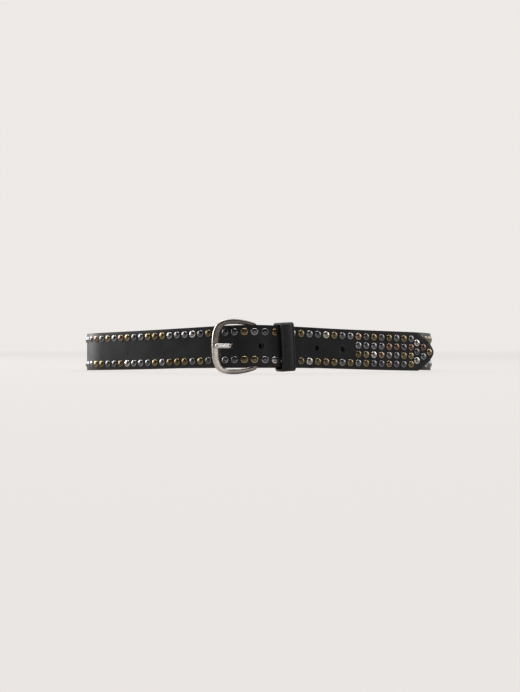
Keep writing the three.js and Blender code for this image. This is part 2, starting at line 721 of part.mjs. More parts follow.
const leather = new THREE.MeshStandardMaterial({ color: 0x1c1b1d, roughness: 0.42, metalness: 0 });
const keeperLeather = new THREE.MeshStandardMaterial({ color: 0x232324, roughness: 0.6, metalness: 0 });
const nickel = new THREE.MeshStandardMaterial({ color: 0x9a918a, roughness: 0.35, metalness: 1 });
const polished = new THREE.MeshStandardMaterial({ color: 0xd8d3ce, roughness: 0.2, metalness: 1 });
const postMetal = new THREE.MeshStandardMaterial({ color: 0x6a6664, roughness: 0.4, metalness: 1 });

function named(name, geometry, material) {
  const mesh = new THREE.Mesh(geometry, material);
  mesh.name = name;
  return mesh;
}

const belt = new THREE.Group();
belt.add(named("strap", makeStrap(), leather));
belt.add(named("buckle_frame", makeFrame(), nickel));
belt.add(named("prong", makeProng(), polished));
belt.add(named("keeper", makeKeeper(), keeperLeather));
for (const { name, at } of POSTS) belt.add(named(name, makePost(at), postMetal));

// The origin is on the floor, under the middle of the belt's outline
const outline = new THREE.Box3().setFromObject(belt, true);
const middle = outline.getCenter(new THREE.Vector3());
belt.position.set(-middle.x, -middle.y, 0);

export default belt;
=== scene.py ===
# %% [markdown]
# A studded leather belt, buckled into a loop and standing on its edge.
# The frame holds the pieces at their real size. This script gives each of them its real surface:
# a bevelled and grained strap, a few hundred domed studs, a brushed buckle, a polished prong and
# a leather keeper. Everything is in metres, in the frame's own axes: the buckle faces -Y, +Z is up.

import math
import random

import bmesh
import bpy
import numpy as np
from mathutils import Matrix, Vector


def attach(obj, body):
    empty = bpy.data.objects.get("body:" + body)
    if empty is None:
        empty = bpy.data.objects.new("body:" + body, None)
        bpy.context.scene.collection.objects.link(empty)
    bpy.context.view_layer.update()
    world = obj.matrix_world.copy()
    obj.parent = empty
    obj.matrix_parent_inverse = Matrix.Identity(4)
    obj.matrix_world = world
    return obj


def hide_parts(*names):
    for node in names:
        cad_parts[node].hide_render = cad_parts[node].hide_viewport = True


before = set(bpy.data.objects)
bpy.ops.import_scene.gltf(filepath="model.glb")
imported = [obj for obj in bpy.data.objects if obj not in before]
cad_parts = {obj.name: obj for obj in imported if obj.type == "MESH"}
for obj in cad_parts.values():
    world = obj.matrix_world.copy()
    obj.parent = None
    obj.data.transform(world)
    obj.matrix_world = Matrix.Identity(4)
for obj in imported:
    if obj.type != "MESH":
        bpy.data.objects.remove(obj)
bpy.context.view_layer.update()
print("nodes:", sorted(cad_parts))

# %% [markdown]
# The same few sizes give the strap, the studs and the buckle their places. They are the sizes of
# the real belt in millimetres, as a saddler would note them, and MM turns them into metres.

# %% Sizes of the belt
MM = 0.001
STRAP_WIDTH = 35
STRAP_THICKNESS = 3
TOUCH_GAP = 0.3
LAYER = STRAP_THICKNESS + TOUCH_GAP
FOLD_WIDTH = 31
FOLD_TRIM = (4, 15)
FLAP_LENGTH = 56
FLAP_STRAIGHT = 3
FLAP_FLARE = 8
TIP_RUN = 179
TIP_FOLLOW = 118
TIP_TURN = 1.5
TIP_POINT = 18
TIP_POWER = 0.58
TIP_BLUNT = 0.06
TIP_SAG = 0.9
CLIMB = 22
CLIMB_END = 6
STUD_PITCH = 8.1
STUD_RADIUS = 3.1
STUD_EDGE = 5.75
STUD_SHIFT = -0.8
BARE_UNDER_TIP = 150
POINT_ROOM = 3.15
LAST_COLUMN = math.floor((TIP_RUN - STUD_SHIFT) / STUD_PITCH - POINT_ROOM)
FIELD_COLUMNS = 8
HOLE_DIAMETER = 4.8
HOLE_PITCH = 25.4
FREE_HOLES = 4
FIRST_FREE_HOLE = 4.4
PRONG_HOLE = -21
PRONG_HOLE_LENGTH = 5.6

RAIL_WIDTH = 4.6
FRAME_PLAY = 1.4
FRAME_HEIGHT = STRAP_WIDTH + 2 * (RAIL_WIDTH + FRAME_PLAY)
FRAME_REACH = 33.2
FRAME_THICKNESS = 4
HEEL = 7
BAR_CLEARANCE = 6
STRAP_SIT = 0.5
LIFT_DEPTH = 150
LIFT_POWER = 2.3
HEEL_BAR_RADIUS = 2.185
FOLD_RADIUS = HEEL_BAR_RADIUS + TOUCH_GAP + STRAP_THICKNESS / 2
FRAME_MID = FRAME_HEIGHT / 2
BUCKLE_LIFT = FRAME_MID + STRAP_SIT - STRAP_WIDTH / 2
print("strap", STRAP_WIDTH, "x", STRAP_THICKNESS, "mm, studs", 2 * STUD_RADIUS, "mm across")

# %% [markdown]
# Seen from above, the buckled belt is a chain of arcs: flat at the buckle, a shoulder on each
# side of it, long flat runs, round ends and a wide curve at the back. Each arc has a length in
# millimetres and a turn in degrees, so the whole loop is a short list instead of many points.
# SHIFT is where the loop's first point lies in the frame.

# %% Plan of the loop
APEX_X = -9
END_RADIUS = 45
REAR_TURN = 50
RIGHT_SIDE = [(7, 2), (14, 20.5), (119, 2.5), (25, 4)]
LEFT_SIDE = [(7, 2), (18, 25), (132.5, 8)]
SHIFT = (-0.107, -96.800)


def point_on_arc(arc, distance):
    turned = arc["heading"] + arc["bend"] * distance
    if abs(arc["bend"]) < 1e-9:
        dx = math.cos(arc["heading"]) * distance
        dy = math.sin(arc["heading"]) * distance
    else:
        dx = (math.sin(turned) - math.sin(arc["heading"])) / arc["bend"]
        dy = (math.cos(arc["heading"]) - math.cos(turned)) / arc["bend"]
    return arc["x"] + dx, arc["y"] + dy, turned


def follow_arcs(start, arcs):
    placed = []
    x, y, heading = start
    travelled = 0
    for length, turn in arcs:
        bend = math.radians(turn) / length
        placed.append({"x": x, "y": y, "heading": heading, "from": travelled, "bend": bend})
        x, y, heading = point_on_arc(placed[-1], length)
        travelled += length
    return placed, travelled, (x, y, heading)


def whole_side(side):
    left_over = 90 - sum(turn for _, turn in side)
    return side + [(math.radians(left_over) * END_RADIUS, left_over)]


def close_loop():
    apex = (APEX_X, 0, 0)
    right, left = whole_side(RIGHT_SIDE), whole_side(LEFT_SIDE)
    right_end = follow_arcs(apex, right)[2]
    left_end = follow_arcs(apex, left)[2]
    half_span = (right_end[0] + left_end[0]) / 2 - APEX_X
    rear_cos = math.cos(math.radians(REAR_TURN))
    back_radius = (half_span - END_RADIUS * (1 - rear_cos)) / rear_cos
    rear = (math.radians(REAR_TURN) * END_RADIUS, REAR_TURN)
    back_turn = 180 - 2 * REAR_TURN
    back = (math.radians(back_turn) * back_radius, back_turn)
    gap = left_end[1] - right_end[1]
    before = [(gap, 0)] if gap > 0 else []
    after = [(-gap, 0)] if gap < 0 else []
    return follow_arcs(apex, right + before + [rear, back, rear] + after + left[::-1])


loop_arcs, loop_length, _ = close_loop()
TURN_END = loop_length + HEEL
print("girth of the loop, mm:", round(loop_length, 1))

# %% [markdown]
# The strap doesn't just go round once. It starts inside, folds round the buckle's heel bar, goes
# once round the loop, climbs over its own start and ends in the free tip. These functions give
# its middle line anywhere on that way, and how high the middle of the strap is above the floor:
# the buckle lifts the front, and the free tip hangs a little.

# %% Way of the strap
def smooth(t):
    c = min(1, max(0, t))
    return c * c * (3 - 2 * c)


def on_loop(s, offset):
    t = s % loop_length
    arc = [a for a in loop_arcs if a["from"] <= t][-1]
    x, y, heading = point_on_arc(arc, t - arc["from"])
    return x + math.sin(heading) * offset, y - math.cos(heading) * offset, heading


def column_at(column):
    return TURN_END + STUD_SHIFT + STUD_PITCH * column


TIP_LEAVES = TURN_END + TIP_FOLLOW
TIP_ENDS = TURN_END + TIP_RUN
FLAT_FROM = column_at(LAST_COLUMN - 0.5)
tip_arcs, _, _ = follow_arcs(
    on_loop(TIP_LEAVES, LAYER), [(FLAT_FROM - TIP_LEAVES, TIP_TURN), (TIP_ENDS - FLAT_FROM, 0)]
)


def on_strap(s):
    if s > FLAT_FROM:
        return point_on_arc(tip_arcs[1], s - FLAT_FROM)
    if s > TIP_LEAVES:
        return point_on_arc(tip_arcs[0], s - TIP_LEAVES)
    return on_loop(s, LAYER * smooth((s - (TURN_END - CLIMB_END - CLIMB)) / CLIMB))


def strap_middle(y, s):
    lift = BUCKLE_LIFT * max(0, 1 - y / LIFT_DEPTH) ** LIFT_POWER
    return lift - TIP_SAG * smooth((s - TURN_END) / TIP_RUN) + STRAP_WIDTH / 2


heel_x, heel_y, heel_heading = on_loop(HEEL, -FOLD_RADIUS)


def flap_point(from_heel):
    closed = smooth((from_heel - FLAP_STRAIGHT) / FLAP_FLARE)
    return on_loop(HEEL + from_heel, -2 * FOLD_RADIUS - (LAYER - 2 * FOLD_RADIUS) * closed)


# %% Middle line of the whole strap
FLAP_STEP = 1
FOLD_STEPS = 24
RUN_STEP = 2

line = []
for i in range(FLAP_LENGTH // FLAP_STEP, 0, -1):
    line.append((*flap_point(i * FLAP_STEP)[:2], HEEL))
for i in range(FOLD_STEPS):
    angle = heel_heading + math.pi / 2 + math.pi * i / FOLD_STEPS
    line.append((heel_x + FOLD_RADIUS * math.cos(angle), heel_y + FOLD_RADIUS * math.sin(angle), HEEL))
fold_end_index = len(line)
for s in np.arange(HEEL, TIP_ENDS, RUN_STEP):
    line.append((*on_strap(s)[:2], s))
line.append((*on_strap(TIP_ENDS)[:2], TIP_ENDS))
line = np.array(line)
steps = np.hypot(*np.diff(line[:, :2], axis=0).T)
line_length = np.concatenate([[0], np.cumsum(steps)])
line_height = np.array([strap_middle(y, s) for _, y, s in line])
fold_end = line_length[fold_end_index]
fold_start = line_length[fold_end_index - FOLD_STEPS]
STRAP_LENGTH = line_length[-1]
print("strap from flap to tip, mm:", round(STRAP_LENGTH, 1))
print("fold from and to, mm:", round(fold_start, 1), round(fold_end, 1))


def along_strap(s):
    return float(np.interp(s, line[fold_end_index:, 2], line_length[fold_end_index:]))


# %% [markdown]
# A few helpers keep the cells short. An operator works on what is selected, so everything is
# deselected before each step, and vertices are picked by their place.

# %% Helpers for modelling
TINY = 1e-6


def only(piece):
    bpy.ops.object.select_all(action="DESELECT")
    piece.select_set(True)
    bpy.context.view_layer.objects.active = piece


def added(name):
    piece = bpy.context.active_object
    piece.name = piece.data.name = name
    only(piece)
    return piece


def fix_place(piece):
    only(piece)
    bpy.ops.object.transform_apply(location=True, rotation=True, scale=True)


def edit(piece):
    only(piece)
    bpy.ops.object.mode_set(mode="EDIT")
    bpy.ops.mesh.select_all(action="SELECT")


def done():
    bpy.ops.object.mode_set(mode="OBJECT")


def pick(test, kind="VERT"):
    bpy.ops.mesh.select_mode(type=kind)
    bpy.ops.mesh.select_all(action="DESELECT")
    mesh = bmesh.from_edit_mesh(bpy.context.active_object.data)
    chosen = {"VERT": mesh.verts, "EDGE": mesh.edges, "FACE": mesh.faces}[kind]
    for element in chosen:
        if test(element):
            element.select_set(True)
    mesh.select_flush_mode()
    bmesh.update_edit_mesh(bpy.context.active_object.data)


def cut_across(axis, places):
    normal = [0, 0, 0]
    normal[axis] = 1
    for place in places:
        point = [0, 0, 0]
        point[axis] = place * MM
        bpy.ops.mesh.select_all(action="SELECT")
        bpy.ops.mesh.bisect(plane_co=point, plane_no=normal)


def finish_with(piece, kind, **settings):
    only(piece)
    modifier = piece.modifiers.new(kind.title(), kind)
    for key, value in settings.items():
        setattr(modifier, key, value)
    bpy.ops.object.modifier_apply(modifier=modifier.name)


def round_edges(piece, width, segments, sharp=50, **settings):
    """Round the edges that turn by more than this angle in degrees."""
    settings |= {"width": width * MM, "segments": segments}
    finish_with(piece, "BEVEL", limit_method="ANGLE", angle_limit=math.radians(sharp), **settings)


def curve_through(name, points):
    """A curve in straight stretches through places in millimetres, for a Curve modifier to follow."""
    way = bpy.data.curves.new(name, "CURVE")
    way.dimensions = "3D"
    way.twist_mode = "Z_UP"
    way.use_deform_bounds = False
    spline = way.splines.new("POLY")
    spline.points.add(len(points) - 1)
    for point, (x, y) in zip(spline.points, points):
        point.co = (x * MM, y * MM, 0, 1)
    curve = bpy.data.objects.new(name, way)
    bpy.context.scene.collection.objects.link(curve)
    return curve


def face_outwards(piece):
    edit(piece)
    bpy.ops.mesh.remove_doubles(threshold=TINY)
    bpy.ops.mesh.normals_make_consistent(inside=False)
    done()


def soften(piece, angle=35):
    only(piece)
    bpy.ops.object.shade_smooth_by_angle(angle=math.radians(angle))


def report(piece):
    mesh = bmesh.new()
    mesh.from_mesh(piece.data)
    open_edges = sum(not edge.is_manifold for edge in mesh.edges)
    faces, volume = len(mesh.faces), mesh.calc_volume() / MM**3
    mesh.free()
    low = [round(min(v.co[k] for v in piece.data.vertices) / MM, 1) for k in range(3)]
    high = [round(max(v.co[k] for v in piece.data.vertices) / MM, 1) for k in range(3)]
    print(piece.name, "faces", faces, "open edges", open_edges, "mm3", round(volume), low, high)


# %% [markdown]
# The strap is cut from a hide as a long strip: pointed at one end, a little narrower where it
# folds round the heel bar. It could be modelled bent, but then every hole and stud would need its
# own direction. It is made here as on the bench: straight and flat, standing on its edge along X,
# and bent round the loop at the very end by a Curve modifier. The outline starts as a plane that
# is cut into columns, and each column is narrowed to the width that the strap has there.

# %% Strap: flat outline
OUTLINE_STEP = 1.5
POINT_WIDTHS = [0.97, 0.92, 0.86, 0.79, 0.71, 0.62, 0.53, 0.44, 0.35, 0.27, 0.19, 0.12]

bpy.ops.mesh.primitive_plane_add(size=1, rotation=(math.pi / 2, 0, 0))
strap = added("strap_body")
strap.scale = (STRAP_LENGTH * MM, STRAP_WIDTH * MM, 1)
strap.location = (STRAP_LENGTH / 2 * MM, 0, 0)
fix_place(strap)


def trim_share(from_fold):
    widened = smooth((from_fold - FOLD_TRIM[0]) / (FOLD_TRIM[1] - FOLD_TRIM[0]))
    return (FOLD_WIDTH + (STRAP_WIDTH - FOLD_WIDTH) * widened) / STRAP_WIDTH


columns = {}
for from_fold in np.arange(FOLD_TRIM[0], FOLD_TRIM[1] + 0.1, OUTLINE_STEP):
    columns[fold_start - from_fold] = columns[fold_end + from_fold] = trim_share(from_fold)
for share in POINT_WIDTHS:
    columns[STRAP_LENGTH - TIP_POINT * share ** (1 / TIP_POWER)] = share
columns[STRAP_LENGTH - TIP_POINT] = 1
edit(strap)
cut_across(0, sorted(columns))
columns[STRAP_LENGTH] = TIP_BLUNT
for place, share in columns.items():
    pick(lambda v: abs(v.co.x - place * MM) < TINY)
    bpy.ops.transform.resize(value=(1, 1, share), center_override=(place * MM, 0, 0))
bpy.ops.mesh.select_mode(type="FACE")
bpy.ops.mesh.select_all(action="SELECT")
bpy.ops.mesh.dissolve_faces()
done()
print("outline of the strap:", len(strap.data.vertices), "points,", len(strap.data.polygons), "face")

# %% [markdown]
# The strip gets its thickness from Solidify. The punch then goes through it: round holes in the
# tip, one hole that the prong has stretched, and a slot in the fold for the prong's eye. Every
# punch is a cube whose four edges are bevelled until it is round. A Bevel modifier takes the
# sharpness off the cut edges, as a saddler's edge tool does, before the strap is cut into short
# stretches that can bend.

# %% Strap: thickness and punched holes
EYE_RADIUS = HEEL_BAR_RADIUS + TOUCH_GAP
EYE_WALL = 1.9
EYE_HEIGHT = 5.5
EYE_PLAY = 0.6
PUNCH_DEPTH = 12
PUNCH_ROUNDNESS = 0.999
EDGE_ROUNDING = 0.55

finish_with(strap, "SOLIDIFY", thickness=STRAP_THICKNESS * MM, offset=0)
face_outwards(strap)


def punch(place, length, height):
    bpy.ops.mesh.primitive_cube_add(size=1, location=(place * MM, 0, 0))
    tool = added("punch")
    tool.scale = (length * MM, PUNCH_DEPTH * MM, height * MM)
    fix_place(tool)
    edit(tool)
    pick(lambda e: abs(e.verts[0].co.y - e.verts[1].co.y) > MM, "EDGE")
    bpy.ops.mesh.bevel(offset=height * MM / 2 * PUNCH_ROUNDNESS, segments=6)
    done()
    return tool


slot_end = EYE_RADIUS + EYE_WALL + EYE_PLAY
punches = [
    punch((fold_start + fold_end) / 2, fold_end - fold_start + 2 * slot_end, EYE_HEIGHT + 2 * EYE_PLAY),
    punch(along_strap(TURN_END + PRONG_HOLE), PRONG_HOLE_LENGTH, HOLE_DIAMETER),
]
for i in range(FREE_HOLES):
    place = along_strap(TURN_END + FIRST_FREE_HOLE + HOLE_PITCH * i)
    punches.append(punch(place, HOLE_DIAMETER, HOLE_DIAMETER))
for tool in punches:
    finish_with(strap, "BOOLEAN", operation="DIFFERENCE", object=tool, solver="EXACT")
    bpy.data.objects.remove(tool)
round_edges(strap, EDGE_ROUNDING, 3, loop_slide=False)
report(strap)

# %% Strap: short stretches that can bend
STRETCH = 2.6
FOLD_STRETCH = 0.55
FOLD_MARGIN = 2

edit(strap)
near_fold = np.arange(fold_start - FOLD_MARGIN, fold_end + FOLD_MARGIN, FOLD_STRETCH)
flap = np.arange(STRETCH, fold_start - FOLD_MARGIN, STRETCH)
run = np.arange(fold_end + FOLD_MARGIN, STRAP_LENGTH - 1, STRETCH)
cut_across(0, [*flap, *near_fold, *run])
cut_across(2, [-STRAP_WIDTH / 4, 0, STRAP_WIDTH / 4])
done()
report(strap)

# %% [markdown]
# One curve is the way of the strap, and whatever is modelled flat follows it with a Curve
# modifier. Before it bends, each point of a piece remembers its flat place in an attribute named
# flat: x along the strap, y through its thickness, z across it. The strap's material reads it later,
# to paint a highlight on the cut edges and to find the flesh side. The lift at the buckle comes
# last, as a rise of each point.

# %% Curve that bends the belt
strap_way = curve_through("way_of_the_strap", line[:, :2] + SHIFT)


def bend_round(piece):
    mesh = piece.data
    places = np.empty(len(mesh.vertices) * 3, np.float32)
    mesh.vertices.foreach_get("co", places)
    flat = mesh.attributes.new("flat", "FLOAT_VECTOR", "POINT")
    flat.data.foreach_set("vector", places)
    rise = np.interp(places[0::3] / MM, line_length, line_height) * MM
    finish_with(piece, "CURVE", object=strap_way, deform_axis="POS_X")
    bent = np.empty(len(mesh.vertices) * 3, np.float32)
    piece.data.vertices.foreach_get("co", bent)
    bent[2::3] += rise
    piece.data.vertices.foreach_set("co", bent)
    piece.data.update()


bend_round(strap)
soften(strap)
report(strap)

# %% [markdown]
# A stud is a small domed cap of sheet metal with a narrow rim, pressed into the leather. A few
# hundred of them are needed, so one stud has only a few dozen faces: a ring of edges that is
# extruded and narrowed step by step up to the crown, and smooth shading does the rest. The steps
# are a short list of radius and height. The attribute ring is 0 on the crown and 1 on the rim, and
# the material reads it to paint a reflection: a dark band round the crown, as of the dark room in
# front, between a light rim and a lighter crown.

# %% Studs: one stud
STUD_SIDES = 14
STUD_STEPS = [(3.06, 0.3), (2.88, 0.6), (2.5, 0.78), (2.1, 0.88), (1.7, 1.03), (1.15, 1.2), (0.55, 1.31)]
STUD_TOP = 1.34
STUD_SINK = 0.15


def one_stud():
    bpy.ops.mesh.primitive_circle_add(vertices=STUD_SIDES, radius=STUD_RADIUS * MM, fill_type="NOTHING")
    stud = added("stud")
    edit(stud)
    radius, height = STUD_RADIUS, -STUD_SINK
    bpy.ops.transform.translate(value=(0, 0, height * MM))
    for next_radius, next_height in STUD_STEPS:
        rise = (0, 0, (next_height - height) * MM)
        bpy.ops.mesh.extrude_region_move(TRANSFORM_OT_translate={"value": rise})
        share = next_radius / radius
        bpy.ops.transform.resize(value=(share, share, 1), center_override=(0, 0, next_height * MM))
        radius, height = next_radius, next_height
    bpy.ops.mesh.edge_face_add()
    bpy.ops.mesh.poke(offset=0)
    done()
    top = max(stud.data.vertices, key=lambda v: -math.hypot(v.co.x, v.co.y))
    top.co.z = STUD_TOP * MM
    stud.rotation_euler = (math.pi / 2, 0, 0)
    fix_place(stud)
    face_outwards(stud)
    edit(stud)
    bpy.ops.mesh.region_to_loop()
    bpy.ops.mesh.edge_face_add()
    done()
    ring = stud.data.attributes.new("ring", "FLOAT", "POINT")
    shares = [math.hypot(v.co.x, v.co.z) / (STUD_RADIUS * MM) for v in stud.data.vertices]
    ring.data.foreach_set("value", shares)
    return stud


stud = one_stud()
soften(stud, 60)
report(stud)

# %% [markdown]
# The finishes are mixed: most caps are dark gunmetal, others brass or copper, and a few are
# bright. The two rows and the field near the tip are charted, one letter a stud from left to right
# as the belt is seen from the front: g gunmetal, b brass, c copper, s silver. A question mark is a
# stud that can't be seen, and it and the rest of the belt get a finish by a seeded draw, but for the
# bright first columns, which show behind the tip.

# %% Studs: chart of finishes
FINISHES = {"g": "gunmetal", "b": "brass", "c": "copper", "s": "silver"}
BRIGHT_COLUMNS = 2
UPPER_ROW = "gggcgbgcbggbbbgggsgb?ggbggbg?bggsbggcgbgbgbg"
LOWER_ROW = "gggbbggbsgggbgbbbgbg?ggbbgsg?bsbcbgbgbggcggb"
FIELD_UPPER = "ggggccgc"
FIELD_LOWER = "bbscggbb"
CHART_SHIFT = 24
POINT_STUDS = [
    (0.8, 1.0, "s"),
    (0.8, 0.0, "g"),
    (0.8, -1.0, "s"),
    (1.72, 0.52, "c"),
    (1.72, -0.52, "g"),
    (2.56, 0.0, "b"),
]
DRAW = "ggggggbbbcs"
draw = random.Random(7)
first_column = math.ceil((HEEL + BARE_UNDER_TIP - TURN_END - STUD_SHIFT) / STUD_PITCH)


def charted(row, column):
    if column < first_column + BRIGHT_COLUMNS:
        return "s"
    place = column + CHART_SHIFT
    letter = row[place] if 0 <= place < len(row) else "?"
    return draw.choice(DRAW) if letter == "?" else letter


edge_row = STRAP_WIDTH / 2 - STUD_EDGE
stud_places = []
for column in range(first_column, LAST_COLUMN + 1):
    x = along_strap(column_at(column))
    stud_places.append((x, edge_row, charted(UPPER_ROW, column)))
    stud_places.append((x, -edge_row, charted(LOWER_ROW, column)))
    field_place = column - (LAST_COLUMN - FIELD_COLUMNS + 1)
    if field_place >= 0:
        stud_places.append((x, edge_row / 3, FIELD_UPPER[field_place]))
        stud_places.append((x, -edge_row / 3, FIELD_LOWER[field_place]))
last_x = along_strap(column_at(LAST_COLUMN))
for along, up, letter in POINT_STUDS:
    stud_places.append((last_x + along * STUD_PITCH, up * STUD_PITCH, letter))
print("studs:", len(stud_places), {f: sum(p[2] == f for p in stud_places) for f in FINISHES})

# %% [markdown]
# Each copy has its own mesh and a number of its own between 0 and 1 in the attribute tone, so
# that no two caps are worn alike. Hammered in by hand, they also lean by a degree or two. The
# copies of one finish are joined, and the four sets are bent round the loop like the strap.

# %% Studs: set all of them
STUD_LEAN = 2.5
studs = {}
for letter, finish in FINISHES.items():
    copies = []
    for x, up, _ in [place for place in stud_places if place[2] == letter]:
        copy = stud.copy()
        copy.data = stud.data.copy()
        bpy.context.scene.collection.objects.link(copy)
        lean = [math.radians(draw.uniform(-STUD_LEAN, STUD_LEAN)) for _ in range(2)]
        copy.rotation_euler = (lean[0], draw.uniform(0, math.tau / STUD_SIDES), lean[1])
        copy.location = (x * MM, -STRAP_THICKNESS / 2 * MM, up * MM)
        tone = copy.data.attributes.new("tone", "FLOAT", "POINT")
        tone.data.foreach_set("value", [draw.random()] * len(copy.data.vertices))
        copies.append(copy)
    bpy.ops.object.select_all(action="DESELECT")
    for copy in copies:
        copy.select_set(True)
    bpy.context.view_layer.objects.active = copies[0]
    bpy.ops.object.join()
    piece = added("studs_" + finish)
    fix_place(piece)
    bend_round(piece)
    soften(piece, 60)
    report(piece)
    studs[finish] = piece
bpy.data.objects.remove(stud)

# %% [markdown]
# The buckle is a bent and welded ring of flat bar, wider on the left where the prong rests and
# narrower at the heel bar inside the fold. Its outline starts as a circle whose points are moved
# to the inner edge of the ring. One extrusion makes the flat ring, Solidify the bar, and Bevel
# rounds the bar's edges. The table gives a few stations: along and up as shares of the ring's
# size, wide as a share of the rail's width, and a smooth line goes through them.

# %% Buckle: outline of the ring
FRAME_STATIONS = [
    (1.042, 0, 1.2),
    (1.032, 0.38, 1.2),
    (0.998, 0.64, 1.17),
    (0.905, 0.875, 1.08),
    (0.74, 0.985, 0.96),
    (0.5, 1.005, 0.92),
    (0.28, 0.965, 0.86),
    (0.125, 0.91, 0.82),
    (0.03, 0.86, 0.8),
    (0.0, 0.78, FRAME_THICKNESS / RAIL_WIDTH),
    (0.0, 0.4, FRAME_THICKNESS / RAIL_WIDTH),
]
RING_POINTS = 126
BAR_ROUNDING = 1.15
rail_height = (FRAME_HEIGHT - RAIL_WIDTH) / 2
upper = [(a * FRAME_REACH, u * rail_height, w * RAIL_WIDTH) for a, u, w in FRAME_STATIONS]
stations = upper + [(a, -u, w) for a, u, w in reversed(upper[1:])]


def through(points, closed, count):
    """Evenly spaced points on a smooth line through these points."""
    points = [np.array(p, float) for p in points]
    n = len(points)
    spans = n if closed else n - 1
    dense = []
    for i in range(spans):
        around = [points[k % n] if closed else points[min(n - 1, max(0, k))] for k in range(i - 1, i + 3)]
        before, start, end, after = around
        for t in np.arange(0, 1, 0.05):
            dense.append(
                0.5 * (2 * start + (end - before) * t
                       + (2 * before - 5 * start + 4 * end - after) * t * t
                       + (3 * start - before - 3 * end + after) * t**3)
            )
    dense.append(points[0] if closed else points[-1])
    dense = np.array(dense)
    run = np.concatenate([[0], np.cumsum(np.linalg.norm(np.diff(dense[:, :2], axis=0), axis=1))])
    wanted = np.linspace(0, run[-1], count + 1 if closed else count)
    even = np.stack([np.interp(wanted, run, dense[:, k]) for k in range(dense.shape[1])], axis=1)
    return even[:-1] if closed else even


ring = through(stations, True, RING_POINTS)
ring_way = np.roll(ring, -1, axis=0) - np.roll(ring, 1, axis=0)
ring_way /= np.linalg.norm(ring_way[:, :2], axis=1)[:, None]
print("ring line, mm:", ring[:, :2].min(0).round(2), ring[:, :2].max(0).round(2))

# %% [markdown]
# The ring is modelled in its own flat place: X from the heel bar towards the left bar, Y out to
# the front, Z up. A matrix then carries it to the belt, where the heel bar sits in the fold and
# the left bar stands in front of the strap.

# %% Buckle: place of the ring
def strap_frame(s):
    x0, y0, _ = on_strap(s - STRAP_THICKNESS)
    x1, y1, _ = on_strap(s + STRAP_THICKNESS)
    x, y, _ = on_strap(s)
    along = Vector((x1 - x0, y1 - y0, 0)).normalized()
    return Vector((x, y, strap_middle(y, s))), Vector((along.y, -along.x, 0))


heel = Vector((heel_x, heel_y, FRAME_MID))
pass_middle, pass_out = strap_frame(TURN_END - FRAME_REACH)
left_bar = pass_middle + pass_out * (STRAP_THICKNESS / 2 + BAR_CLEARANCE + FRAME_THICKNESS / 2)
left_bar.z = FRAME_MID
frame_across = (left_bar - heel).normalized()
UP = Vector((0, 0, 1))
frame_out = UP.cross(frame_across)


def carried_to(origin, across, out):
    turn = Matrix((across, out, UP)).transposed().to_4x4()
    place = (origin + Vector((*SHIFT, 0))) * MM
    return Matrix.Translation(place) @ turn


buckle_place = carried_to(heel, frame_across, frame_out)

# %% Buckle: bar and rounded edges
bpy.ops.mesh.primitive_circle_add(vertices=RING_POINTS, radius=FRAME_REACH * MM, fill_type="NOTHING")
buckle = added("buckle_ring")
inner_side = [(p[0] - w[1] * p[2] / 2, p[1] + w[0] * p[2] / 2) for p, w in zip(ring, ring_way)]
outer_side = [(p[0] + w[1] * p[2] / 2, p[1] - w[0] * p[2] / 2) for p, w in zip(ring, ring_way)]
for vertex, (x, z) in zip(buckle.data.vertices, inner_side):
    vertex.co = (x * MM, 0, z * MM)
edit(buckle)
bpy.ops.mesh.extrude_edges_move()
done()
for vertex, (x, z) in zip(buckle.data.vertices[RING_POINTS:], outer_side):
    vertex.co = (x * MM, 0, z * MM)
face_outwards(buckle)
finish_with(buckle, "SOLIDIFY", thickness=FRAME_THICKNESS * MM, offset=0)
face_outwards(buckle)
round_edges(buckle, BAR_ROUNDING, 4, use_clamp_overlap=False)

# %% [markdown]
# An attribute on the ring says how far each place of it is painted bright: 0 is brown patina with a
# painted dark reflection, 1 is bright metal as a painted reflection and highlight. The left bar is
# bright in its lower half, a painted reflection of the pale floor, and on its edges, painted
# highlights, and its upper half keeps the brown patina with a painted dark reflection. The bottom
# rail gets darker from its inner to its outer edge, and the top rail stays dark. The three borders
# are given as where the change starts and where it ends.

# %% Buckle: painted reflection and highlights on the ring
# Painted reflection and highlights: bright lower half and edges of the left bar, lighter inner edge of
# the bottom rail.
LEFT_BAR_BORDER = (0.6, 0.9)
LOWER_HALF_BORDER = (0.15, -0.15)
EDGE_BORDER = (0.62, 0.92)
BAR_REFLECTION = 0.85
RAIL_REFLECTION = 0.34
BAR_LEAST_REFLECTION = 0.04
RAIL_LEAST_REFLECTION = 0.03


def past(border, value):
    start, end = border
    return smooth((value - start) / (end - start))


def patina_and_reflection_at(x, z):
    nearest = np.hypot(ring[:, 0] - x, ring[:, 1] - z).argmin()
    (mid_x, mid_z, width), bar_way = ring[nearest], ring_way[nearest]
    across = ((x - mid_x) * bar_way[1] - (z - mid_z) * bar_way[0]) / (width / 2)
    below = past(LOWER_HALF_BORDER, z / rail_height)
    on_bar = max(BAR_REFLECTION * below, BAR_REFLECTION * past(EDGE_BORDER, abs(across)), BAR_LEAST_REFLECTION)
    on_rail = below * RAIL_REFLECTION * (1 - across) + (1 - below) * RAIL_LEAST_REFLECTION
    on_left_bar = past(LEFT_BAR_BORDER, x / FRAME_REACH)
    return on_left_bar * on_bar + (1 - on_left_bar) * on_rail


patina_and_reflection = buckle.data.attributes.new("patina_and_reflection", "FLOAT", "POINT")
patina_and_reflection.data.foreach_set("value", [patina_and_reflection_at(v.co.x / MM, v.co.z / MM) for v in buckle.data.vertices])
buckle.data.transform(buckle_place)
soften(buckle, 40)
report(buckle)

# %% [markdown]
# The prong is a short bar with an eye round the heel bar. It dips behind the strap, comes up
# through the stretched hole and rests on the left bar. Like the strap it is modelled straight,
# with rounded edges and a narrowed end, and bent by a Curve modifier. The eye is a band round a
# circle, and a union joins the two, as the weld does on the real one.

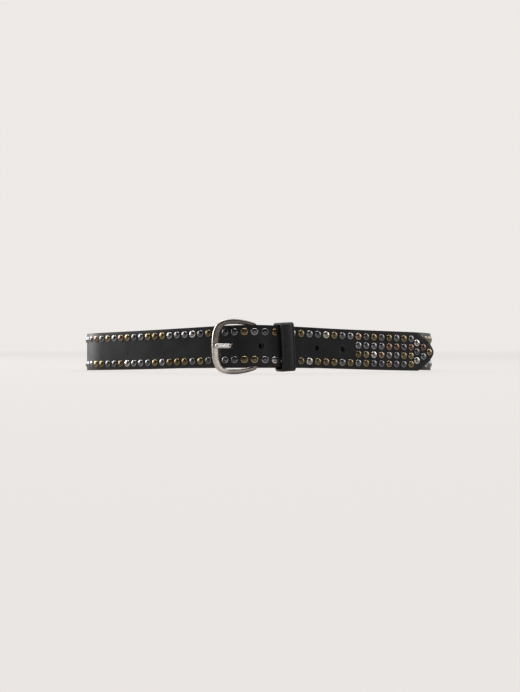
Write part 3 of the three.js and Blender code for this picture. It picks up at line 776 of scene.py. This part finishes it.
# %% Prong: straight bar
PRONG_WIDTH = 4
PRONG_THICKNESS = 3
PRONG_TIP = 1.7
PRONG_DIP = 4.3
PRONG_RISE = 4
PRONG_SWAY = 0.8
PRONG_DIPS = [(-0.9, 1), (-0.28, 0.92)]
PRONG_RISES = [(0.26, 0.8), (0.75, 1.02)]
PRONG_ROUNDING = 0.95
PRONG_POINTS = 60
PRONG_STEP = 0.6
PRONG_END_SHARES = (1, 0.8, 0.86)
PRONG_END_CORNER = 1.4

rest = FRAME_THICKNESS / 2 + TOUCH_GAP + PRONG_THICKNESS / 2
to_hole = strap_frame(TURN_END + PRONG_HOLE)[0] - heel
hole = to_hole.dot(frame_across)
prong_stations = [(EYE_RADIUS + EYE_WALL / 2, 0), (hole / 2, -PRONG_DIP * PRONG_SWAY)]
prong_stations += [(hole + PRONG_RISE * past, -PRONG_DIP * out) for past, out in PRONG_DIPS]
prong_stations += [(hole, to_hole.dot(frame_out))]
prong_stations += [(hole + PRONG_RISE * past, rest * out) for past, out in PRONG_RISES]
prong_stations += [(FRAME_REACH, rest), (FRAME_REACH + PRONG_TIP, rest)]
prong_line = through(prong_stations, False, PRONG_POINTS)
prong_length = float(np.linalg.norm(np.diff(prong_line, axis=0), axis=1).sum())

bpy.ops.mesh.primitive_cube_add(size=1)
prong = added("prong_bar")
prong.scale = (prong_length * MM, PRONG_THICKNESS * MM, PRONG_WIDTH * MM)
prong.location = (prong_length / 2 * MM, 0, 0)
fix_place(prong)
edit(prong)
pick(lambda f: f.calc_center_median().x > (prong_length - 0.1) * MM, "FACE")
bpy.ops.mesh.extrude_region_move(TRANSFORM_OT_translate={"value": (0, 0, 0)})
bpy.ops.transform.resize(value=PRONG_END_SHARES, center_override=(prong_length * MM, 0, 0))
pick(lambda v: v.co.x > (prong_length - 0.1) * MM and abs(v.co.z) > PRONG_WIDTH * 0.49 * MM)
bpy.ops.transform.translate(value=(-PRONG_END_CORNER * MM, 0, 0))
done()
round_edges(prong, PRONG_ROUNDING, 4, sharp=30)
edit(prong)
cut_across(0, np.arange(PRONG_STEP, prong_length - 3, PRONG_STEP))
done()
report(prong)

# %% Prong: bend, eye and union
EYE_SIDES = 32
EYE_ROUNDING = 0.5

prong_way = curve_through("way_of_the_prong", prong_line)
finish_with(prong, "CURVE", object=prong_way, deform_axis="POS_X")

bpy.ops.mesh.primitive_circle_add(vertices=EYE_SIDES, radius=EYE_RADIUS * MM, fill_type="NOTHING")
eye = added("prong_eye")
edit(eye)
bpy.ops.transform.translate(value=(0, 0, -EYE_HEIGHT / 2 * MM))
bpy.ops.mesh.extrude_region_move(TRANSFORM_OT_translate={"value": (0, 0, EYE_HEIGHT * MM)})
done()
face_outwards(eye)
finish_with(eye, "SOLIDIFY", thickness=EYE_WALL * MM, offset=1)
round_edges(eye, EYE_ROUNDING, 3)
face_outwards(prong)
finish_with(prong, "BOOLEAN", operation="UNION", object=eye, solver="EXACT")
bpy.data.objects.remove(eye)
prong.data.transform(carried_to(heel + UP * STRAP_SIT, frame_across, frame_out))
soften(prong, 40)
report(prong)

# %% [markdown]
# The keeper is a loop of the same leather, a little matter than the strap, that holds the tip
# down. It starts as a box without ends round the three layers of strap. Bevelled corners and
# Solidify give the wall, a pressed line runs along both of its borders, and the rims are rounded.
# On the strap it leans a little, with its top towards the buckle.

# %% Keeper: wall, pressed lines and rims
KEEPER_AT = 26.1
KEEPER_TILT = 3
KEEPER_LENGTH = 12.4
KEEPER_WALL = 2
KEEPER_CORNER = 3
KEEPER_PLAY_HEIGHT = 1.4
KEEPER_PLAY = 0.7
STUD_HEIGHT = 1.3
KEEPER_ROUNDING = 0.5
KEEPER_LINE = 1.7
KEEPER_LINE_SIDE = 0.35
KEEPER_LINE_DEPTH = 0.28
KEEPER_CROWN = 0.45
KEEPER_ROW = 3
KEEPER_ROWS = 5

inner_face = LAYER + STRAP_THICKNESS / 2 + KEEPER_PLAY
outer_face = LAYER + STRAP_THICKNESS / 2 + STUD_HEIGHT + KEEPER_PLAY
keeper_depth = inner_face + outer_face
keeper_height = STRAP_WIDTH + 2 * KEEPER_PLAY_HEIGHT
bpy.ops.mesh.primitive_cube_add(size=1)
keeper = added("keeper_loop")
keeper.scale = (KEEPER_LENGTH * MM, keeper_depth * MM, keeper_height * MM)
keeper.location = (0, (inner_face - outer_face) / 2 * MM, 0)
fix_place(keeper)
edit(keeper)
pick(lambda f: abs(f.normal.x) > 0.9, "FACE")
bpy.ops.mesh.delete(type="ONLY_FACE")
pick(lambda e: abs(e.verts[0].co.x - e.verts[1].co.x) > MM, "EDGE")
bpy.ops.mesh.bevel(offset=(KEEPER_CORNER - KEEPER_WALL) * MM, segments=6)
done()
face_outwards(keeper)
finish_with(keeper, "SOLIDIFY", thickness=KEEPER_WALL * MM, offset=1, use_even_offset=True)
face_outwards(keeper)
round_edges(keeper, KEEPER_ROUNDING, 3)
edit(keeper)
line_at = KEEPER_LENGTH / 2 - KEEPER_LINE
line_steps = (-KEEPER_LINE_SIDE, 0, KEEPER_LINE_SIDE)
cut_across(0, [side * line_at + step for side in (-1, 1) for step in line_steps])
cut_across(2, [KEEPER_ROW * row for row in range(-KEEPER_ROWS, KEEPER_ROWS + 1)])
done()
outer_wall = -(outer_face + KEEPER_WALL / 2) * MM
for vertex in keeper.data.vertices:
    if vertex.co.y < outer_wall:
        crown = KEEPER_CROWN * (1 - (vertex.co.z / (keeper_height / 2 * MM)) ** 2)
        vertex.co.y -= max(0, crown) * MM
        if abs(abs(vertex.co.x) - line_at * MM) < 10 * TINY:
            vertex.co.y += KEEPER_LINE_DEPTH * MM
x, y, heading = on_loop(HEEL + KEEPER_AT, 0)
keeper_along = Vector((math.cos(heading), math.sin(heading), 0))
keeper_middle = Vector((x, y, strap_middle(y, HEEL)))
keeper.data.transform(Matrix.Rotation(math.radians(-KEEPER_TILT), 4, "Y"))
keeper.data.transform(carried_to(keeper_middle, keeper_along, UP.cross(keeper_along)))
soften(keeper, 40)
report(keeper)

# %% [markdown]
# Every finish is a node material. A small helper makes the nodes and links of one material, so
# that each recipe below reads as a list: where the pattern is laid, what it varies and how much.

# %% Helpers for materials
def new_material(name):
    material = bpy.data.materials.new(name)
    material.use_nodes = True
    nodes = material.node_tree.nodes
    return material, nodes, material.node_tree.links, nodes["Principled BSDF"]


def add_node(nodes, kind, **values):
    node = nodes.new("ShaderNode" + kind)
    for key, value in values.items():
        if key in node.inputs:
            node.inputs[key].default_value = value
        else:
            setattr(node, key, value)
    return node


def ramp(nodes, links, source, stops):
    node = nodes.new("ShaderNodeValToRGB")
    while len(node.color_ramp.elements) < len(stops):
        node.color_ramp.elements.new(0.5)
    for element, (place, colour) in zip(node.color_ramp.elements, stops):
        element.position = place
        element.color = (*colour, 1) if isinstance(colour, tuple) else (colour, colour, colour, 1)
    links.new(source, node.inputs["Fac"])
    return node.outputs["Color"]


def mixed(nodes, links, share, first, second):
    node = nodes.new("ShaderNodeMix")
    node.data_type = "RGBA"
    links.new(share, node.inputs["Factor"])
    for name, value in (("A", first), ("B", second)):
        socket = next(s for s in node.inputs if s.name == name and s.type == "RGBA")
        if isinstance(value, tuple):
            socket.default_value = (*value, 1)
        else:
            links.new(value, socket)
    return next(s for s in node.outputs if s.type == "RGBA")


def bumped(nodes, links, height, strength, distance, under=None):
    node = nodes.new("ShaderNodeBump")
    node.inputs["Strength"].default_value = strength
    node.inputs["Distance"].default_value = distance
    links.new(height, node.inputs["Height"])
    if under is not None:
        links.new(under, node.inputs["Normal"])
    return node.outputs["Normal"]


# %% [markdown]
# The strap's leather is drum dyed black and finished semi-gloss: an almost even face with fine
# pores, a soft cloudiness in its gloss, cut edges in a lighter brownish grey, a painted highlight
# along them, and a rough flesh side inside. On the strap the attribute flat tells these places
# apart: its y goes from the face to the flesh side, and what lies between is a cut edge. The pores
# are small Voronoi cells on Object coordinates, because a solid pattern has no seams at the bend.

# %% Material: strap leather
FACE_SIDE = -1.45
CUT_SIDE = -1.15
INNER_SIDE = 1.1
INNER_BORDER = 0.3
FLESH_DARK = (0.012, 0.010, 0.009)
FLESH_LIGHT = (0.03, 0.026, 0.023)
CUT_ROUGHNESS = (0.45, 0.45, 0.45)
FLESH_ROUGHNESS = (0.85, 0.85, 0.85)


def leather(name, face_dark, face_light, gloss, edge_highlight=None):
    material, nodes, links, shader = new_material(name)
    place = add_node(nodes, "TexCoord").outputs["Object"]
    cloud = add_node(nodes, "TexNoise", Scale=70.0, Detail=4.0, Roughness=0.6)
    pores = add_node(nodes, "TexVoronoi", feature="DISTANCE_TO_EDGE", Scale=1150.0, Randomness=1.0)
    fine = add_node(nodes, "TexNoise", Scale=2600.0, Detail=3.0, Roughness=0.55)
    for texture in (cloud, pores, fine):
        links.new(place, texture.inputs["Vector"])
    face = ramp(nodes, links, cloud.outputs["Fac"], [(0.3, face_dark), (0.75, face_light)])
    rough = ramp(nodes, links, cloud.outputs["Fac"], [(0.3, gloss - 0.05), (0.7, gloss + 0.07)])
    if edge_highlight:
        flat = add_node(nodes, "Attribute", attribute_name="flat")
        split = add_node(nodes, "SeparateXYZ")
        links.new(flat.outputs["Vector"], split.inputs[0])
        cut = add_node(nodes, "MapRange", interpolation_type="SMOOTHSTEP")
        cut.inputs["From Min"].default_value = FACE_SIDE * MM
        cut.inputs["From Max"].default_value = CUT_SIDE * MM
        links.new(split.outputs["Y"], cut.inputs["Value"])
        inside = add_node(nodes, "MapRange", interpolation_type="SMOOTHSTEP")
        inside.inputs["From Min"].default_value = INNER_SIDE * MM
        inside.inputs["From Max"].default_value = (INNER_SIDE + INNER_BORDER) * MM
        links.new(split.outputs["Y"], inside.inputs["Value"])
        flesh = ramp(nodes, links, fine.outputs["Fac"], [(0.3, FLESH_DARK), (0.7, FLESH_LIGHT)])
        # Painted highlight on the cut edges.
        face = mixed(nodes, links, cut.outputs["Result"], face, edge_highlight)
        face = mixed(nodes, links, inside.outputs["Result"], face, flesh)
        rough = mixed(nodes, links, cut.outputs["Result"], rough, CUT_ROUGHNESS)
        rough = mixed(nodes, links, inside.outputs["Result"], rough, FLESH_ROUGHNESS)
    links.new(face, shader.inputs["Base Color"])
    links.new(rough, shader.inputs["Roughness"])
    pore_height = ramp(nodes, links, pores.outputs["Distance"], [(0.0, 0.0), (0.12, 1.0)])
    grain = bumped(nodes, links, pore_height, 0.05, 0.00012)
    links.new(bumped(nodes, links, fine.outputs["Fac"], 0.1, 0.0001, grain), shader.inputs["Normal"])
    shader.inputs["Specular IOR Level"].default_value = 0.42
    return material


STRAP_DARK, STRAP_LIGHT = (0.0085, 0.0085, 0.0095), (0.017, 0.0165, 0.0175)
KEEPER_DARK, KEEPER_LIGHT = (0.011, 0.011, 0.0115), (0.02, 0.02, 0.0205)
# Painted highlight: the cut edges are a lighter brownish grey than the black face.
CUT_EDGE_HIGHLIGHT = (0.14, 0.125, 0.115)
strap_leather = leather("black_strap_leather", STRAP_DARK, STRAP_LIGHT, 0.40, CUT_EDGE_HIGHLIGHT)
keeper_leather = leather("black_keeper_leather", KEEPER_DARK, KEEPER_LIGHT, 0.52)

# %% [markdown]
# The metals differ in colour and polish. The ring of the buckle is brushed: fine upright scratches
# come from a noise that is stretched along Z. Its colour goes from brown patina with a painted dark
# reflection to bright metal with a painted reflection and highlights, by an attribute, and a little
# noise breaks up the border. The prong is rubbed bright by use, and the hidden posts are plain.

# %% Materials: buckle, prong and posts
EVEN_SCRATCHES = (2500.0, 2500.0, 2500.0)
UPRIGHT_SCRATCHES = (3200.0, 3200.0, 160.0)
SCRATCH_DEPTH = 0.00006
# Ends of the ring's painted reflection: brown patina with dark reflection, and bright metal.
PATINA_AND_DARK_REFLECTION, BARE_METAL = (0.15, 0.125, 0.11), (0.95, 0.87, 0.8)
PATINA_PATCHES = 0.12


def metal(name, gloss, cloud_scale, scratch_scale, scratch_strength):
    material, nodes, links, shader = new_material(name)
    shader.inputs["Metallic"].default_value = 1.0
    place = add_node(nodes, "TexCoord").outputs["Object"]
    cloud = add_node(nodes, "TexNoise", Scale=cloud_scale, Detail=5.0, Roughness=0.6)
    links.new(place, cloud.inputs["Vector"])
    shade = cloud.outputs["Fac"]
    links.new(ramp(nodes, links, shade, [(0.35, gloss + 0.1), (0.65, gloss)]), shader.inputs["Roughness"])
    scratches = add_node(nodes, "TexNoise", Scale=1.0, Detail=4.0, Roughness=0.7)
    stretch = add_node(nodes, "Mapping")
    stretch.inputs["Scale"].default_value = scratch_scale
    links.new(place, stretch.inputs["Vector"])
    links.new(stretch.outputs["Vector"], scratches.inputs["Vector"])
    height = scratches.outputs["Fac"]
    links.new(bumped(nodes, links, height, scratch_strength, SCRATCH_DEPTH), shader.inputs["Normal"])
    return material, nodes, links, shader, shade


def cloudy_metal(name, dark, light, gloss, cloud_scale):
    """A metal whose colour goes from dark to light in soft clouds."""
    material, nodes, links, shader, shade = metal(name, gloss, cloud_scale, EVEN_SCRATCHES, 0.05)
    links.new(ramp(nodes, links, shade, [(0.35, dark), (0.65, light)]), shader.inputs["Base Color"])
    return material


def patina_and_reflection_metal(name, gloss, cloud_scale):
    """A brushed metal whose colour goes from brown patina to bright metal by an attribute: a painted
    reflection and highlights.
    """
    material, nodes, links, shader, _ = metal(name, gloss, cloud_scale, UPRIGHT_SCRATCHES, 0.3)
    patina_and_reflection = add_node(nodes, "Attribute", attribute_name="patina_and_reflection")
    cloud = add_node(nodes, "TexNoise", Scale=420.0, Detail=3.0)
    links.new(add_node(nodes, "TexCoord").outputs["Object"], cloud.inputs["Vector"])
    uneven = add_node(nodes, "MapRange")
    uneven.inputs["To Min"].default_value = -PATINA_PATCHES
    uneven.inputs["To Max"].default_value = PATINA_PATCHES
    links.new(cloud.outputs["Fac"], uneven.inputs["Value"])
    total = add_node(nodes, "Math", operation="ADD", use_clamp=True)
    links.new(patina_and_reflection.outputs["Fac"], total.inputs[0])
    links.new(uneven.outputs["Result"], total.inputs[1])
    colour = mixed(nodes, links, total.outputs[0], PATINA_AND_DARK_REFLECTION, BARE_METAL)
    links.new(colour, shader.inputs["Base Color"])
    return material


frame_nickel = patina_and_reflection_metal("brushed_nickel", 0.24, 120.0)
prong_nickel = cloudy_metal("polished_nickel", (0.7, 0.67, 0.65), (0.88, 0.85, 0.83), 0.14, 200.0)
post_metal = cloudy_metal("plain_post_metal", (0.2, 0.19, 0.185), (0.34, 0.33, 0.32), 0.36, 300.0)

# %% [markdown]
# A cap's colour comes from two attributes. The tone, one number a cap, moves it between a duller
# and a brighter colour. The ring, from the crown to the rim, lays a painted reflection: a dark band
# round the crown between a light rim and crown, its border broken up by a little noise.

# %% Materials: stud caps
# Painted reflection: the dark band on each cap stands for the dark room in front mirrored in the dome.
CAP_DARK_REFLECTION = (0.03, 0.028, 0.028)
CAP_REFLECTION_STOPS = [(0.0, 0.85), (0.18, 0.6), (0.32, 0.22), (0.6, 0.26), (0.76, 0.9), (1.0, 1.0)]
RING_NOISE = 0.3


def cap_metal(name, dark, light, gloss):
    material, nodes, links, shader = new_material(name)
    shader.inputs["Metallic"].default_value = 1.0
    tone = add_node(nodes, "Attribute", attribute_name="tone")
    own = ramp(nodes, links, tone.outputs["Fac"], [(0.0, dark), (1.0, light)])
    ring = add_node(nodes, "Attribute", attribute_name="ring")
    uneven = add_node(nodes, "TexNoise", Scale=900.0, Detail=2.0)
    links.new(add_node(nodes, "TexCoord").outputs["Object"], uneven.inputs["Vector"])
    shifted = add_node(nodes, "Math", operation="MULTIPLY_ADD")
    shifted.inputs[1].default_value = RING_NOISE
    links.new(uneven.outputs["Fac"], shifted.inputs[0])
    links.new(ring.outputs["Fac"], shifted.inputs[2])
    centred = add_node(nodes, "Math", operation="SUBTRACT")
    centred.inputs[1].default_value = RING_NOISE / 2
    links.new(shifted.outputs[0], centred.inputs[0])
    # Painted reflection: dark band round the crown, light rim and crown.
    painted_reflection = ramp(nodes, links, centred.outputs[0], CAP_REFLECTION_STOPS)
    links.new(mixed(nodes, links, painted_reflection, CAP_DARK_REFLECTION, own), shader.inputs["Base Color"])
    links.new(ramp(nodes, links, painted_reflection, [(0.0, gloss + 0.14), (1.0, gloss)]), shader.inputs["Roughness"])
    return material


stud_metals = {
    "gunmetal": cap_metal("gunmetal_caps", (0.24, 0.24, 0.25), (0.48, 0.48, 0.49), 0.2),
    "brass": cap_metal("brass_caps", (0.3, 0.225, 0.11), (0.56, 0.44, 0.24), 0.22),
    "copper": cap_metal("copper_caps", (0.32, 0.21, 0.15), (0.56, 0.39, 0.28), 0.22),
    "silver": cap_metal("silver_caps", (0.86, 0.8, 0.74), (0.97, 0.92, 0.86), 0.2),
}


def coat(piece, material):
    piece.data.materials.clear()
    piece.data.materials.append(material)


coat(strap, strap_leather)
coat(keeper, keeper_leather)
coat(buckle, frame_nickel)
coat(prong, prong_nickel)
for finish, piece in studs.items():
    coat(piece, stud_metals[finish])
for name in ("fold_post_near", "fold_post_far"):
    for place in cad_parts[name].material_slots:
        place.material = post_metal
print("materials:", sorted(m.name for m in bpy.data.materials if m.users))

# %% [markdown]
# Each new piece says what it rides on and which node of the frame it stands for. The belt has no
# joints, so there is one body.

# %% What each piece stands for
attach(strap, "root")
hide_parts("strap")
for finish, piece in studs.items():
    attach(piece, "root")
    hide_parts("strap")
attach(buckle, "root")
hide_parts("buckle_frame")
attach(prong, "root")
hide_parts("prong")
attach(keeper, "root")
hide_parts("keeper")
bpy.data.objects.remove(strap_way)
bpy.data.objects.remove(prong_way)

# %% [markdown]
# The studio is plain: a pale floor that runs to the horizon, a pale surround, soft boxes to the
# left, to the right and above, and a weak one low in front. The floor glows by itself for most of
# its brightness, as a well lit sweep does, and the rest of it takes the belt's soft shadow. Both
# are pale where the camera sees them and dimmer as a light, so that black leather stays black. As
# a light, the surround is bright behind the belt and dark behind the camera: flat faces stay deep,
# and rims, round edges and the strap's far ends catch the light.

# %% Floor, surround and lights
FLOOR_SIZE = 40.0
FLOOR_COLOUR = (0.1, 0.097, 0.095)
FLOOR_AS_LIGHT = 0.4
PALE = (0.852, 0.820, 0.797)
AIM = (0, 0, 0.02)


def seen_or_lit(nodes, links, seen_level, lit_level):
    """The first level where the camera sees it, the second as a light."""
    is_seen = add_node(nodes, "LightPath").outputs["Is Camera Ray"]
    difference = add_node(nodes, "Math", operation="SUBTRACT")
    blend = add_node(nodes, "Math", operation="MULTIPLY_ADD")
    for value, sockets in (
        (seen_level, [difference.inputs[0]]),
        (lit_level, [difference.inputs[1], blend.inputs[2]]),
    ):
        for socket in sockets:
            if isinstance(value, float):
                socket.default_value = value
            else:
                links.new(value, socket)
    links.new(is_seen, blend.inputs[0])
    links.new(difference.outputs[0], blend.inputs[1])
    return blend.outputs[0]


bpy.ops.mesh.primitive_plane_add(size=FLOOR_SIZE)
floor = added("studio_floor")
floor_material, nodes, links, shader = new_material("pale_floor")
shader.inputs["Base Color"].default_value = (*FLOOR_COLOUR, 1)
shader.inputs["Roughness"].default_value = 0.9
shader.inputs["Specular IOR Level"].default_value = 0.0
shader.inputs["Emission Color"].default_value = (*PALE, 1)
away = add_node(nodes, "VectorMath", operation="LENGTH")
links.new(add_node(nodes, "TexCoord").outputs["Object"], away.inputs[0])
glow = add_node(nodes, "MapRange", interpolation_type="SMOOTHSTEP")
for socket, value in (("From Min", 0.3), ("From Max", 4.0), ("To Min", 0.84), ("To Max", 0.95)):
    glow.inputs[socket].default_value = value
links.new(away.outputs["Value"], glow.inputs["Value"])
strength = seen_or_lit(nodes, links, glow.outputs["Result"], FLOOR_AS_LIGHT)
links.new(strength, shader.inputs["Emission Strength"])
coat(floor, floor_material)

world = bpy.data.worlds.new("pale_surround")
bpy.context.scene.world = world
world.use_nodes = True
nodes, links = world.node_tree.nodes, world.node_tree.links
direction = add_node(nodes, "SeparateXYZ")
links.new(add_node(nodes, "TexCoord").outputs["Generated"], direction.inputs[0])
level = add_node(nodes, "MapRange", interpolation_type="SMOOTHSTEP")
for socket, value in (("From Min", -0.5), ("From Max", 0.5), ("To Min", 0.06), ("To Max", 0.95)):
    level.inputs[socket].default_value = value
links.new(direction.outputs["Y"], level.inputs["Value"])
nodes["Background"].inputs["Color"].default_value = (*PALE, 1)
links.new(seen_or_lit(nodes, links, 1.0, level.outputs["Result"]), nodes["Background"].inputs["Strength"])


def soft_box(name, place, width, height, watts):
    lamp = bpy.data.lights.new(name, "AREA")
    lamp.shape = "RECTANGLE"
    lamp.size, lamp.size_y, lamp.energy = width, height, watts
    box = bpy.data.objects.new(name, lamp)
    box.location = place
    box.rotation_mode = "QUATERNION"
    box.rotation_quaternion = (Vector(AIM) - Vector(place)).to_track_quat("-Z", "Y")
    box.visible_camera = False
    bpy.context.scene.collection.objects.link(box)


soft_box("soft_box_above", (0.0, -0.15, 1.1), 1.3, 0.8, 11.0)
soft_box("soft_box_left", (-1.1, 0.35, 0.4), 0.9, 0.7, 11.0)
soft_box("soft_box_right", (1.2, 0.1, 0.45), 0.7, 0.7, 3.8)
soft_box("soft_box_front", (0.41, -1.11, -0.02), 0.45, 0.4, 0.7)

# %% [markdown]
# The camera stands level with the middle of the buckle, a little above the floor, and looks
# straight at the belt's front. Its lens follows from the picture's long side.

# %% Camera
CAMERA_PLACE = (0.0019, -0.7758, 0.024)
FOCAL_PIXELS = 800
LONG_SIDE_PIXELS = 692
SENSOR = 36

camera_data = bpy.data.cameras.new("front_camera")
camera_data.sensor_width = SENSOR
camera_data.lens = SENSOR * FOCAL_PIXELS / LONG_SIDE_PIXELS
camera_data.clip_start = 0.01
camera = bpy.data.objects.new("front_camera", camera_data)
camera.location = CAMERA_PLACE
camera.rotation_euler = (math.pi / 2, 0, 0)
bpy.context.scene.collection.objects.link(camera)
bpy.context.scene.camera = camera
bpy.context.scene.view_settings.view_transform = "Standard"
